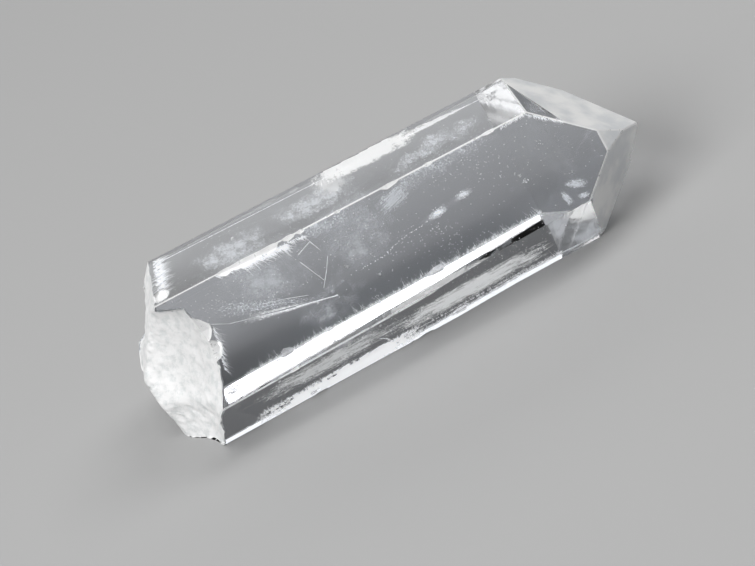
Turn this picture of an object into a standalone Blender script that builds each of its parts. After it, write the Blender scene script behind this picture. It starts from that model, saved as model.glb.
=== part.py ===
"""A clear quartz point, one natural crystal, lying on one of its long faces.

Metres, +Z up. The crystal's long axis runs along X, with the tip at +X and the broken end
at -X. The origin is on the resting surface, under the middle of the crystal's box.
"""

import math
import random
from typing import NamedTuple

import bmesh
import bpy
from mathutils import Matrix, Vector, noise

MM = 0.001
SEED = 7

# How far a quartz pyramid face leans in for each unit along the axis.
PYRAMID_SLOPE = 0.787
FACE_TURN = math.radians(60)

# Each long face, going round from the top: its distance from the axis at the middle, in mm,
# how much it leans in towards the tip, and where along X its pyramid face begins, in mm.
LONG_FACES = {
    "top": (9.59, 0.0070, 22.24),
    "upper_front": (8.955, 0.0085, 28.67),
    "lower_front": (11.37, 0.0250, 23.59),
    "under": (9.57, 0.0, 24.42),
    "lower_back": (8.87, -0.0280, 18.75),
    "upper_back": (10.14, 0.0040, 23.82),
}
# Where the axis runs, in mm, so that the origin is under the middle of the crystal's box.
AXIS_PLACE = (-0.09, 0.50)
AXIS_HEIGHT = LONG_FACES["under"][0]
BLANK_REACH = 60.0
WORN_EDGE = 0.14

# Growth steps that run right across a long face: the face's profile along X, each point in
# mm along X and in mm below the face.
GROWTH_PROFILES = {
    "lower_front": ((0.6, 0.0), (12.0, 0.40), (25.5, 0.40)),
    "lower_back": ((-13.0, 0.0), (4.0, 0.12), (18.6, 0.0)),
    "upper_back": ((-9.4, 0.0), (-3.6, 0.14), (10.4, 0.12), (12.6, 0.0)),
}
STEP_SIDE = 16.0
STEP_TOP = 3.0

# The break at the base, in mm: of these planes and scoops, the one furthest along +X ends
# the crystal. "across" runs down the upper front face from the axis, "out" runs out of it.
# Each plane: its X on the axis, then how it leans with out and with across.
BREAK_PLANES = (
    (-32.55, 0.22, -0.56),
    (-34.05, 0.12, 0.24),
)
# Each scoop: its centre along X, across and out, and its radius.
FRONT_SCOOP = (-37.5, 0.8, 11.6, 14.2)
SMALL_SCOOPS = (
    (-36.4, 9.6, 6.2, 9.4),
    (-33.7, -8.0, -6.1, 4.9),
    (-39.2, 6.8, -7.6, 7.4),
)
# The ledge that ends the front scoop towards the top: its X on the axis and its lean.
LEDGE_X = -11.6
LEDGE_LEAN = 3.0
RIDGE_BLEND = 0.8
RIPPLE_LENGTH = 1.30
RIPPLE_DEPTH = 0.06
GRAIN_SIZE = 3.1
GRAIN_DEPTH = 0.24
GRAIN_FADE = 0.9
GRAIN_FINER = 2.1
GRAIN_LAYERS = 4
BREAK_GRID = 0.50
BREAK_SCATTER = 0.16
BREAK_SPAN = 30.0
BREAK_BACK = -70.0

# A thin flake lost from the upper front face: its outline in mm along X and across, and how
# deep its floor is at the middle of the face and how that grows with across.
FLAKE_OUTLINE = (
    (-29.0, -5.0),
    (-27.3, -3.75),
    (-20.3, -0.05),
    (-17.6, 0.60),
    (-7.7, 2.80),
    (-8.6, 1.37),
    (-6.4, -1.75),
    (-6.9, -2.80),
    (-7.5, -4.25),
    (-9.4, -3.50),
    (-8.8, -6.50),
    (-29.0, -6.50),
)
FLAKE_DEPTH = 0.13
FLAKE_DEEPENS = 0.018

# Bites out of the edges between two long faces: the faces, the place along X, the bite's
# length, width and depth in mm, and how far its middle is turned towards the second face.
EDGE_CHIPS = (
    ("top", "upper_back", 2.4, 8.8, 1.9, 0.17, 0.2),
    ("top", "upper_back", 6.3, 3.4, 1.1, 0.10, 0.0),
    ("top", "upper_back", -7.9, 2.6, 0.9, 0.14, 0.3),
    ("top", "upper_front", -15.1, 9.4, 1.7, 0.36, 0.5),
    ("top", "upper_front", -12.1, 3.4, 1.5, 0.34, 0.6),
    ("top", "upper_front", -17.9, 2.6, 1.3, 0.34, 0.6),
    ("top", "upper_front", -9.5, 2.2, 1.1, 0.28, 0.4),
    ("top", "upper_front", -7.9, 1.5, 0.9, 0.26, 0.5),
    ("top", "upper_front", -2.9, 1.2, 0.8, 0.22, 0.2),
    ("top", "upper_front", 3.9, 3.8, 1.0, 0.20, 0.4),
    ("upper_front", "lower_front", 2.7, 3.6, 1.0, 0.16, 0.3),
    ("lower_front", "under", -0.2, 3.1, 1.5, 0.30, 0.2),
    ("lower_front", "under", -14.8, 3.6, 1.4, 0.22, -0.2),
    ("lower_front", "under", 14.2, 2.6, 1.0, 0.16, -0.3),
    ("lower_back", "upper_back", -10.2, 4.4, 2.2, 0.46, 0.4),
    ("lower_back", "upper_back", -6.6, 2.2, 1.5, 0.32, 0.1),
    ("lower_back", "upper_back", 9.0, 2.6, 1.6, 0.30, -0.4),
    ("under", "lower_back", 4.2, 3.8, 1.8, 0.32, 0.5),
    ("under", "lower_back", -16.5, 2.8, 1.7, 0.34, 0.4),
)
# Bites out of the ends' edges and corners: the place, as along X, across and out, then the
# bite's radius and its depth, all in mm.
END_CHIPS = (
    (-23.1, -0.8, 8.95, 2.3, 0.40),
    (-22.8, 1.6, 8.95, 1.7, 0.24),
    (-25.4, -6.8, 7.4, 1.4, 0.24),
    (33.9, 1.2, 3.1, 1.5, 0.30),
    (32.2, -1.9, 2.4, 1.0, 0.22),
    (22.3, -6.2, 8.9, 1.1, 0.34),
    (24.6, -4.0, 8.9, 0.8, 0.22),
    (26.4, -2.2, 8.8, 0.6, 0.16),
    (28.8, 2.8, 8.8, 0.9, 0.22),
    (25.6, 5.7, 8.8, 1.0, 0.30),
    (24.1, 11.2, 1.2, 1.2, 0.36),
    (22.3, -11.4, -0.4, 0.9, 0.24),
    (31.2, 4.1, 0.9, 0.8, 0.18),
)
END_CHIP_LEAN = 8.0
# Small wear anywhere along the crystal's edges.
WEAR_COUNT = 40
WEAR_FROM = -24.0
WEAR_WIDTH = (0.35, 1.05)
WEAR_LONG = (1.2, 3.0)
WEAR_DEPTH = (0.15, 0.24)
# How much wider a chip is across its edge than it is high, and from what length it is finer.
CHIP_ROUND = 1.6
FINE_CHIP = 2.0

# Fields of small pits on the long faces: the face, where the field begins and ends along X
# and across the face in mm, and how many pits it holds.
PIT_FIELDS = (
    ("lower_front", -21.5, -12.0, 1.4, 3.6, 11),
    ("lower_front", -10.0, 22.0, -3.4, 3.2, 6),
    ("lower_back", -24.0, 14.0, -4.6, 4.6, 6),
    ("upper_back", -22.0, 20.0, -4.0, 4.0, 5),
)
PIT_RADIUS = (0.16, 0.34)
PIT_RISE = (0.3, 0.6)
PIT_LENGTH = 1.5

# How uneven a bite is, how fine its bumps are, how one bite's bumps differ from the next
# one's, and how far apart two bites of one cutter stay, as a share of their sizes.
PEBBLE_ROUGHNESS = 0.16
PEBBLE_BUMPS = 4
PEBBLE_VARIETY = 3
PEBBLE_SPARE = 1.2

QUARTZ_COLOUR = (0.93, 0.95, 0.96, 1.0)
QUARTZ_ROUGHNESS = 0.04
QUARTZ_IOR = 1.544


def face_normal(name):
    """The outward direction of a long face, across the axis."""
    turn = list(LONG_FACES).index(name) * FACE_TURN
    return Vector((0, -math.sin(turn), math.cos(turn)))


OUT = face_normal("upper_front")
ACROSS = Vector((1, 0, 0)).cross(OUT)
AXIS = Vector((*AXIS_PLACE, AXIS_HEIGHT))


def in_section(x, across, out):
    """A point in mm from its place along X, down the upper front face and out of it."""
    return AXIS + Vector((x, 0, 0)) + ACROSS * across + OUT * out


def face_distance(name, x):
    """How far a long face is from the axis at x, in mm."""
    distance, lean, _ = LONG_FACES[name]
    return distance - lean * x


def on_face(name, x, across, depth):
    """A point in mm at a place on a long face and at a depth below it."""
    normal = face_normal(name)
    sideways = Vector((1, 0, 0)).cross(normal)
    level = face_distance(name, x) - depth
    return AXIS + Vector((x, 0, 0)) + sideways * across + normal * level


def edge_point(first, second, x):
    """The point of the edge between two neighbouring long faces at x, in mm."""
    a, b = face_normal(first), face_normal(second)
    cosine = a.dot(b)
    near, far = face_distance(first, x), face_distance(second, x)
    share = 1 - cosine * cosine
    along_a = (near - far * cosine) / share
    along_b = (far - near * cosine) / share
    return AXIS + Vector((x, 0, 0)) + a * along_a + b * along_b


def add_object(name, shape):
    """Makes an object in metres from a bmesh in mm, and frees the bmesh."""
    mesh = bpy.data.meshes.new(name)
    bmesh.ops.recalc_face_normals(shape, faces=shape.faces)
    bmesh.ops.scale(shape, vec=Vector((MM, MM, MM)), verts=shape.verts)
    shape.to_mesh(mesh)
    shape.free()
    made = bpy.data.objects.new(name, mesh)
    bpy.context.scene.collection.objects.link(made)
    return made


def make_cutter(name, shape):
    """A hidden object that a Boolean cuts with."""
    cutter = add_object(name, shape)
    cutter.hide_render = True
    cutter.display_type = "WIRE"
    return cutter


def cut_flat(shape, point, normal):
    """Cuts away what lies beyond a plane and closes the cut with one flat face."""
    everything = shape.verts[:] + shape.edges[:] + shape.faces[:]
    bmesh.ops.bisect_plane(
        shape,
        geom=everything,
        dist=1e-6,
        plane_co=point,
        plane_no=normal,
        clear_outer=True,
    )
    rim = [edge for edge in shape.edges if edge.is_boundary]
    if rim:
        bmesh.ops.edgeloop_fill(shape, edges=rim)


def sharp_crystal():
    """The whole crystal as nature would end it: six long faces and six pyramid faces."""
    shape = bmesh.new()
    bmesh.ops.create_cube(shape, size=2 * BLANK_REACH)
    for name, (distance, lean, shoulder) in LONG_FACES.items():
        normal = face_normal(name)
        cut_flat(shape, AXIS + normal * distance, normal + Vector((lean, 0, 0)))
        lean_in = normal + Vector((PYRAMID_SLOPE, 0, 0))
        cut_flat(shape, on_face(name, shoulder, 0, 0), lean_in)
    return shape


def outer_edges(shape):
    """Each edge of the crystal in front of the break: its ends and its outward direction."""
    shape.normal_update()
    found = []
    for edge in shape.edges:
        ends = [vert.co.copy() for vert in edge.verts]
        if all(end.x < BREAK_BACK / 2 for end in ends):
            continue
        outward = sum((face.normal for face in edge.link_faces), Vector())
        found.append((ends[0], ends[1], outward.normalized()))
    return found


def wear_down(shape):
    """Takes the sharpness off every edge."""
    bmesh.ops.bevel(
        shape,
        geom=shape.edges[:],
        offset=WORN_EDGE,
        offset_type="OFFSET",
        segments=1,
        affect="EDGES",
    )


def add_prism(shape, floor, top):
    """A closed block between two outlines of the same number of points."""
    low = [shape.verts.new(point) for point in floor]
    high = [shape.verts.new(point) for point in top]
    shape.faces.new(low)
    shape.faces.new(high)
    for i, vert in enumerate(low):
        shape.faces.new((low[i - 1], vert, high[i], high[i - 1]))


def step_cutter(name):
    """The block that leaves growth steps right across a long face."""
    shape = bmesh.new()
    profile = list(GROWTH_PROFILES[name])
    outline = profile + [(profile[-1][0], -STEP_TOP), (profile[0][0], -STEP_TOP)]
    near = [on_face(name, x, -STEP_SIDE, depth) for x, depth in outline]
    far = [on_face(name, x, STEP_SIDE, depth) for x, depth in outline]
    add_prism(shape, near, far)
    return make_cutter(name + "_step_cutter", shape)


def flake_cutter():
    """The block that takes a thin flake off the upper front face."""
    shape = bmesh.new()
    floor = []
    top = []
    for x, across in FLAKE_OUTLINE:
        depth = FLAKE_DEPTH + FLAKE_DEEPENS * across
        floor.append(on_face("upper_front", x, across, depth))
        top.append(on_face("upper_front", x, across, -STEP_TOP))
    add_prism(shape, floor, top)
    return make_cutter("flake_cutter", shape)


def scoop_x(scoop, across, out):
    """Where along X a round scoop with faint ripples reaches, in mm."""
    x, middle_across, middle_out, radius = scoop
    gap = math.hypot(across - middle_across, out - middle_out)
    ripple = RIPPLE_DEPTH * math.sin(math.tau * gap / RIPPLE_LENGTH)
    return x + math.sqrt(max(0.0, radius * radius - gap * gap)) + ripple


def further(first, second):
    """The further of two places along X, rounded off where they are nearly equal."""
    near = max(RIDGE_BLEND - abs(first - second), 0) / RIDGE_BLEND
    return max(first, second) + near * near * RIDGE_BLEND / 4


def break_x(across, out):
    """Where along X the broken base lies, in mm, at a place across the crystal."""
    ledge = LEDGE_X + LEDGE_LEAN * across
    furthest = min(scoop_x(FRONT_SCOOP, across, out), ledge)
    for x, lean_out, lean_across in BREAK_PLANES:
        furthest = further(furthest, x + lean_out * out + lean_across * across)
    for scoop in SMALL_SCOOPS:
        furthest = further(furthest, scoop_x(scoop, across, out))
    place = Vector((across, out, SEED)) / GRAIN_SIZE
    return furthest + GRAIN_DEPTH * noise.fractal(place, GRAIN_FADE, GRAIN_FINER, GRAIN_LAYERS)


def break_cutter():
    """The block beyond the broken base, whose inner side is the break itself."""
    shape = bmesh.new()
    draw = random.Random(SEED + 3)
    steps = round(BREAK_SPAN / BREAK_GRID)
    rows = []
    for i in range(steps + 1):
        row = []
        for j in range(steps + 1):
            across = (i / steps - 0.5) * BREAK_SPAN + draw.uniform(-1, 1) * BREAK_SCATTER
            out = (j / steps - 0.5) * BREAK_SPAN + draw.uniform(-1, 1) * BREAK_SCATTER
            row.append(shape.verts.new(in_section(break_x(across, out), across, out)))
        rows.append(row)
    for near, far in zip(rows, rows[1:]):
        for k in range(steps):
            shape.faces.new((near[k], near[k + 1], far[k + 1], far[k]))
    grown = bmesh.ops.extrude_face_region(shape, geom=shape.faces[:])
    for vert in grown["geom"]:
        if isinstance(vert, bmesh.types.BMVert):
            vert.co.x = BREAK_BACK
    return make_cutter("break_cutter", shape)


def frame_of(along, outward):
    """The turn that takes X to a direction and Z to another one nearly square to it."""
    x = along.normalized()
    y = outward.cross(x).normalized()
    z = x.cross(y)
    return Matrix((x, y, z)).transposed()


class Pebble(NamedTuple):
    """A rough round cutter: its middle, its three sizes, its turn and how finely it is cut."""

    place: Vector
    size: tuple
    turn: Matrix
    detail: int


def edge_bite(corner, along, outward, size, depth):
    """A pebble that stands outside an edge and reaches in by a depth."""
    place = corner + outward * (size[2] / 2 - depth)
    detail = 2 if size[0] > FINE_CHIP else 1
    return Pebble(place, size, frame_of(along, outward), detail)


def edge_pebbles():
    """The bites out of the edges between two long faces."""
    pebbles = []
    for first, second, x, length, width, depth, turned in EDGE_CHIPS:
        outward = face_normal(first) * (1 - turned) + face_normal(second) * (1 + turned)
        corner = edge_point(first, second, x)
        size = (length, width * CHIP_ROUND, width)
        pebbles.append(edge_bite(corner, Vector((1, 0, 0)), outward.normalized(), size, depth))
    return pebbles


def end_pebbles():
    """The bites out of the pyramid and out of the break's rim."""
    pebbles = []
    for x, across, out, radius, depth in END_CHIPS:
        corner = in_section(x, across, out)
        outward = (corner - in_section(x - math.copysign(END_CHIP_LEAN, x), 0, 0)).normalized()
        pebbles.append(edge_bite(corner, outward.orthogonal(), outward, (2 * radius,) * 3, depth))
    return pebbles


def wear_pebbles(edges):
    """Small bites here and there along all the edges."""
    pebbles = []
    draw = random.Random(SEED)
    lengths = [(end - start).length for start, end, _ in edges]
    while len(pebbles) < WEAR_COUNT:
        start, end, outward = draw.choices(edges, lengths)[0]
        corner = start.lerp(end, draw.random())
        width = draw.uniform(*WEAR_WIDTH)
        size = (width * draw.uniform(*WEAR_LONG), width * CHIP_ROUND, width)
        depth = width * draw.uniform(*WEAR_DEPTH)
        if corner.x > WEAR_FROM:
            pebbles.append(edge_bite(corner, end - start, outward, size, depth))
    return pebbles


def pit_pebbles():
    """The small round pits on the long faces."""
    pebbles = []
    draw = random.Random(SEED + 1)
    for name, start, end, low, high, count in PIT_FIELDS:
        for _ in range(count):
            radius = draw.uniform(*PIT_RADIUS)
            x, across = draw.uniform(start, end), draw.uniform(low, high)
            place = on_face(name, x, across, -radius * draw.uniform(*PIT_RISE))
            turn = frame_of(Vector((draw.random(), 1, draw.random())), face_normal(name))
            width = radius * 2
            pebbles.append(Pebble(place, (width * PIT_LENGTH, width, width), turn, 1))
    return pebbles


def touching(first, second):
    """Whether two pebbles may touch."""
    gap = (first.place - second.place).length
    return gap < PEBBLE_SPARE * (max(first.size) + max(second.size)) / 2


def apart(pebbles):
    """The pebbles sorted into groups in which none touches another."""
    groups = []
    for pebble in pebbles:
        free = [group for group in groups if not any(touching(pebble, other) for other in group)]
        if free:
            free[0].append(pebble)
        else:
            groups.append([pebble])
    return groups


def pebble_cutter(name, pebbles):
    """One cutter of several separate pebbles."""
    shape = bmesh.new()
    for place, size, turn, detail in pebbles:
        made = bmesh.ops.create_icosphere(shape, subdivisions=detail, radius=0.5)
        for vert in made["verts"]:
            bumps = noise.noise(vert.co * PEBBLE_BUMPS + place * PEBBLE_VARIETY)
            rough = 1 + PEBBLE_ROUGHNESS * bumps
            point = Vector([a * b for a, b in zip(vert.co * rough, size)])
            vert.co = turn @ point + place
    return make_cutter(name, shape)


def quartz():
    """The finish of clear quartz."""
    material = bpy.data.materials.new("quartz")
    material.use_nodes = True
    shader = material.node_tree.nodes["Principled BSDF"]
    shader.inputs["Base Color"].default_value = QUARTZ_COLOUR
    shader.inputs["Roughness"].default_value = QUARTZ_ROUGHNESS
    shader.inputs["Metallic"].default_value = 0.0
    shader.inputs["IOR"].default_value = QUARTZ_IOR
    shader.inputs["Transmission Weight"].default_value = 1.0
    return material


def cut(body, cutter):
    """Takes a cutter's shape out of the body."""
    modifier = body.modifiers.new(cutter.name, "BOOLEAN")
    modifier.operation = "DIFFERENCE"
    modifier.solver = "EXACT"
    modifier.object = cutter


def main():
    """Clears the scene and builds the crystal."""
    for old in list(bpy.data.objects):
        bpy.data.objects.remove(old)
    shape = sharp_crystal()
    edges = outer_edges(shape)
    wear_down(shape)
    crystal = add_object("crystal", shape)
    crystal.data.materials.append(quartz())
    for name in GROWTH_PROFILES:
        cut(crystal, step_cutter(name))
    cut(crystal, flake_cutter())
    cut(crystal, break_cutter())
    pebbles = edge_pebbles() + end_pebbles() + wear_pebbles(edges) + pit_pebbles()
    for i, group in enumerate(apart(pebbles)):
        cut(crystal, pebble_cutter(f"chip_cutter_{i}", group))


main()
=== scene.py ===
"""The look of a clear quartz point that lies on one of its long faces.

The crystal's axis runs along X with the tip at +X, +Z is up, and everything is in metres.
Sizes in this file are in millimetres where their name or comment says so. What lies inside
the crystal is placed by where it is seen in the photograph, through the clear faces.
"""

import logging
import math
import random
from collections.abc import Callable
from dataclasses import dataclass, replace
from enum import Enum

import bpy
from bpy.types import Material, Mesh, MeshPolygon, Node, NodeSocket, NodeTree
from mathutils import Matrix, Vector
from mathutils.bvhtree import BVHTree

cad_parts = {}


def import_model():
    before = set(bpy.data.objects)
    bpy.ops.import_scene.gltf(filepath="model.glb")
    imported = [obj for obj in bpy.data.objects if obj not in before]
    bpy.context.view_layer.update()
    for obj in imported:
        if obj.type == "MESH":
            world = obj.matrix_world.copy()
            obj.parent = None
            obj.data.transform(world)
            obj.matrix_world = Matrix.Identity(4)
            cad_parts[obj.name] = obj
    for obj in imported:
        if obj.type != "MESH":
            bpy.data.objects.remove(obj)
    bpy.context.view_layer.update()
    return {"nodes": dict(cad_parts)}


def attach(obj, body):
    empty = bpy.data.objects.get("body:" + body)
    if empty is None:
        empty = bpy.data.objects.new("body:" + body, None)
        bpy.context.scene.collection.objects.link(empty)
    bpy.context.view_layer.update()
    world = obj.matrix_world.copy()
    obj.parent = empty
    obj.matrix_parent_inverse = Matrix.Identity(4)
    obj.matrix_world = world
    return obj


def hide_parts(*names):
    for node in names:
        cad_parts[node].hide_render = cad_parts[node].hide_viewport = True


log = logging.getLogger("quartz")

MM = 0.001
BODY = "root"
NODE = "crystal"
QUARTZ_IOR = 1.544
FACE_TURN = math.radians(60)
PYRAMID_SLOPE = 0.787
FACE_MATCH = math.radians(3.5)
PHOTO_WIDTH = 755
PHOTO_HEIGHT = 566
SENSOR = 36.0
ALONG = Vector((1, 0, 0))

Piece = bpy.types.Object
Pixel = tuple[float, float]
Triple = tuple[float, float, float]


class Face(Enum):
    """The long faces, counted round the crystal from the one on top."""

    TOP = 0
    UPPER_FRONT = 1
    LOWER_FRONT = 2
    UNDER = 3
    LOWER_BACK = 4
    UPPER_BACK = 5

    @property
    def normal(self) -> Vector:
        """The face's outward direction, across the crystal's axis."""
        turn = self.value * FACE_TURN
        return Vector((0, -math.sin(turn), math.cos(turn)))

    @property
    def pyramid_normal(self) -> Vector:
        """The outward direction of the pyramid face that this long face ends in."""
        return (self.normal + Vector((PYRAMID_SLOPE, 0, 0))).normalized()


class Skin(Enum):
    """The kinds of surface on the crystal, each with its material slot."""

    CLEAR = 0
    ETCHED = 1
    BROKEN = 2
    WORN = 3


def deselect_all() -> None:
    """Leaves edit mode and deselects every object."""
    if bpy.context.mode != "OBJECT":
        bpy.ops.object.mode_set(mode="OBJECT")
    bpy.ops.object.select_all(action="DESELECT")


def take_up(*pieces: Piece) -> None:
    """Selects some objects and makes the first the active one.

    Args:
        pieces: The objects to work on.
    """
    deselect_all()
    for piece in pieces:
        piece.select_set(True)
    bpy.context.view_layer.objects.active = pieces[0]


def open_vertices(piece: Piece, wanted: Callable[[Vector], bool]) -> None:
    """Opens the active piece in edit mode with some of its vertices selected.

    Args:
        piece: The piece.
        wanted: Tells from a vertex's place whether it is selected.
    """
    for element in (*piece.data.edges, *piece.data.polygons):
        element.select = False
    for vertex in piece.data.vertices:
        vertex.select = wanted(vertex.co)
    bpy.ops.object.mode_set(mode="EDIT")
    bpy.ops.mesh.select_mode(type="VERT")


def hand_over(piece: Piece) -> Piece:
    """Makes a finished piece ride with the crystal and reports it.

    Args:
        piece: The piece.

    Returns:
        The same piece.
    """
    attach(piece, BODY)
    log.info("%s: %d faces", piece.name, len(piece.data.polygons))
    return piece


def settle(piece: Piece, name: str, material: Material) -> Piece:
    """Puts a piece's place in its mesh, names it, dresses it and hands it over.

    Args:
        piece: The modelled piece.
        name: Its name.
        material: Its finish.

    Returns:
        The same piece.
    """
    take_up(piece)
    bpy.ops.object.transform_apply(location=True, rotation=True, scale=True)
    piece.name = name
    piece.data.name = name
    piece.data.materials.clear()
    piece.data.materials.append(material)
    return hand_over(piece)


def join_copies(pattern: Piece, name: str, places: list[Matrix], material: Material) -> Piece:
    """Copies a pattern to each of its places and joins the copies to one piece.

    Args:
        pattern: The shape to repeat, which is removed.
        name: The piece's name.
        places: Where each copy goes, how it is turned and how big it is.
        material: The piece's finish.

    Returns:
        The finished piece.
    """
    copies = []
    for place in places:
        copy = bpy.data.objects.new(name, pattern.data.copy())
        bpy.context.scene.collection.objects.link(copy)
        copy.matrix_world = place
        copies.append(copy)
    bpy.data.objects.remove(pattern)
    take_up(*copies)
    bpy.ops.object.join()
    return settle(copies[0], name, material)


def displace(piece: Piece, size: float, height: float, level: float = 0.5, group: str = "") -> None:
    """Makes the active piece uneven by a cloudy pattern, in and out along its normals.

    Args:
        piece: The piece.
        size: The pattern's size, in millimetres.
        height: How far it moves the surface in all, in millimetres.
        level: The share of the pattern that stays in place.
        group: The vertices that move, if not all.
    """
    texture = bpy.data.textures.new("swell", "CLOUDS")
    texture.noise_scale = size * MM
    texture.noise_depth = 2
    modifier = piece.modifiers.new("swell", "DISPLACE")
    modifier.texture = texture
    modifier.texture_coords = "GLOBAL"
    modifier.strength = height * MM
    modifier.mid_level = level
    modifier.vertex_group = group
    bpy.ops.object.modifier_apply(modifier=modifier.name)


class Tree:
    """A material's or group's node tree, with short ways to add and join nodes."""

    def __init__(self, tree: NodeTree) -> None:
        """Keeps the node tree to build in."""
        self.tree = tree

    def add(self, kind: str, **settings: object) -> Node:
        """Adds a node.

        Args:
            kind: The node's type name.
            settings: Attributes of the node to set.

        Returns:
            The new node.
        """
        node = self.tree.nodes.new(kind)
        for name, value in settings.items():
            setattr(node, name, value)
        return node

    def feed(self, socket: NodeSocket, value: object) -> None:
        """Sets an input to a plain value, or links it to an output.

        Args:
            socket: The input.
            value: The value, or the output's socket.
        """
        if isinstance(value, NodeSocket):
            self.tree.links.new(value, socket)
        else:
            socket.default_value = value

    def fill(self, node: Node, **values: object) -> Node:
        """Feeds several inputs of a node.

        Args:
            node: The node.
            values: Values or sockets by the inputs' names, with underscores for spaces.

        Returns:
            The same node.
        """
        for name, value in values.items():
            self.feed(node.inputs[name.replace("_", " ")], value)
        return node

    def maths(self, operation: str, *values: object) -> NodeSocket:
        """Adds a math node.

        Args:
            operation: The operation's name.
            values: Numbers or sockets for its inputs, in order.

        Returns:
            The result's socket.
        """
        node = self.add("ShaderNodeMath", operation=operation)
        for socket, value in zip(node.inputs, values):
            self.feed(socket, value)
        return node.outputs[0]

    def ramp(self, value: object, start: object, end: object) -> NodeSocket:
        """Rises smoothly from 0 to 1 as a value goes from start to end."""
        node = self.add("ShaderNodeMapRange", interpolation_type="SMOOTHSTEP")
        return self.fill(node, Value=value, From_Min=start, From_Max=end).outputs["Result"]

    def place(self, scale: Triple, source: str = "Object", centre: Triple = (0, 0, 0)) -> NodeSocket:
        """The point in the crystal's frame or on the piece's map, stretched for a pattern.

        Args:
            scale: How often the pattern repeats along each axis, per metre or per map.
            source: The coordinates to read, Object or UV.
            centre: The pattern's middle, after the stretch.

        Returns:
            The vector's socket.
        """
        point = self.add("ShaderNodeTexCoord").outputs[source]
        shift = tuple(-value for value in centre)
        mapping = self.add("ShaderNodeMapping")
        return self.fill(mapping, Vector=point, Scale=scale, Location=shift).outputs["Vector"]

    def noise(self, point: NodeSocket, scale: object, detail: float = 4.0, rough: float = 0.6) -> NodeSocket:
        """Adds a noise texture with some finer layers, which are as strong as rough says."""
        node = self.add("ShaderNodeTexNoise")
        return self.fill(node, Vector=point, Scale=scale, Detail=detail, Roughness=rough).outputs["Fac"]

    def bump(self, height: NodeSocket, depth: float, strength: float) -> NodeSocket:
        """Adds a bump that stands a depth in metres high, of which a part is used."""
        node = self.add("ShaderNodeBump")
        return self.fill(node, Strength=strength, Distance=depth, Height=height).outputs["Normal"]

    def blend(self, share: NodeSocket, low: Triple, high: Triple) -> NodeSocket:
        """Mixes two colours by a pattern.

        Args:
            share: The pattern, from 0 to 1.
            low: The colour at 0.
            high: The colour at 1.

        Returns:
            The colour's socket.
        """
        node = self.add("ShaderNodeMix", data_type="RGBA")
        factor, first, second = (node.inputs[index] for index in (0, 6, 7))
        self.feed(factor, share)
        self.feed(first, (*low, 1.0))
        self.feed(second, (*high, 1.0))
        return node.outputs[2]

    def group(self, kind: NodeTree, **values: object) -> NodeSocket:
        """Places a node group with its inputs by name, and gives what it puts out."""
        return self.fill(self.add("ShaderNodeGroup", node_tree=kind), **values).outputs[0]


def new_material(name: str, colour: Triple | None = None, **values: object) -> tuple[Material, Tree, Node]:
    """Makes a material with one Principled shader.

    Args:
        name: The material's name.
        colour: The base colour, unless a pattern gives it.
        values: Plain values of the shader by the inputs' names, with underscores for spaces.

    Returns:
        The material, its tree and its shader.
    """
    material = bpy.data.materials.new(name)
    material.use_nodes = True
    tree = Tree(material.node_tree)
    shader = tree.fill(material.node_tree.nodes["Principled BSDF"], **values)
    if colour is not None:
        tree.fill(shader, Base_Color=(*colour, 1.0))
    return material, tree, shader


def new_group(
    name: str, inputs: dict[str, float], output: str
) -> tuple[NodeTree, Tree, dict[str, NodeSocket], NodeSocket]:
    """Starts a node group with named numbers in and one mask out.

    Args:
        name: The group's name.
        inputs: Each input's name and usual value.
        output: The output's name.

    Returns:
        The group, its tree, its input sockets by name and the socket that the mask goes to.
    """
    group = bpy.data.node_groups.new(name, "ShaderNodeTree")
    for label, value in inputs.items():
        socket = group.interface.new_socket(label, in_out="INPUT", socket_type="NodeSocketFloat")
        socket.default_value = value
    group.interface.new_socket(output, in_out="OUTPUT", socket_type="NodeSocketFloat")
    tree = Tree(group)
    entry = tree.add("NodeGroupInput")
    leave = tree.add("NodeGroupOutput")
    sockets = {label: entry.outputs[label] for label in inputs}
    return group, tree, sockets, leave.inputs[output]


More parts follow.
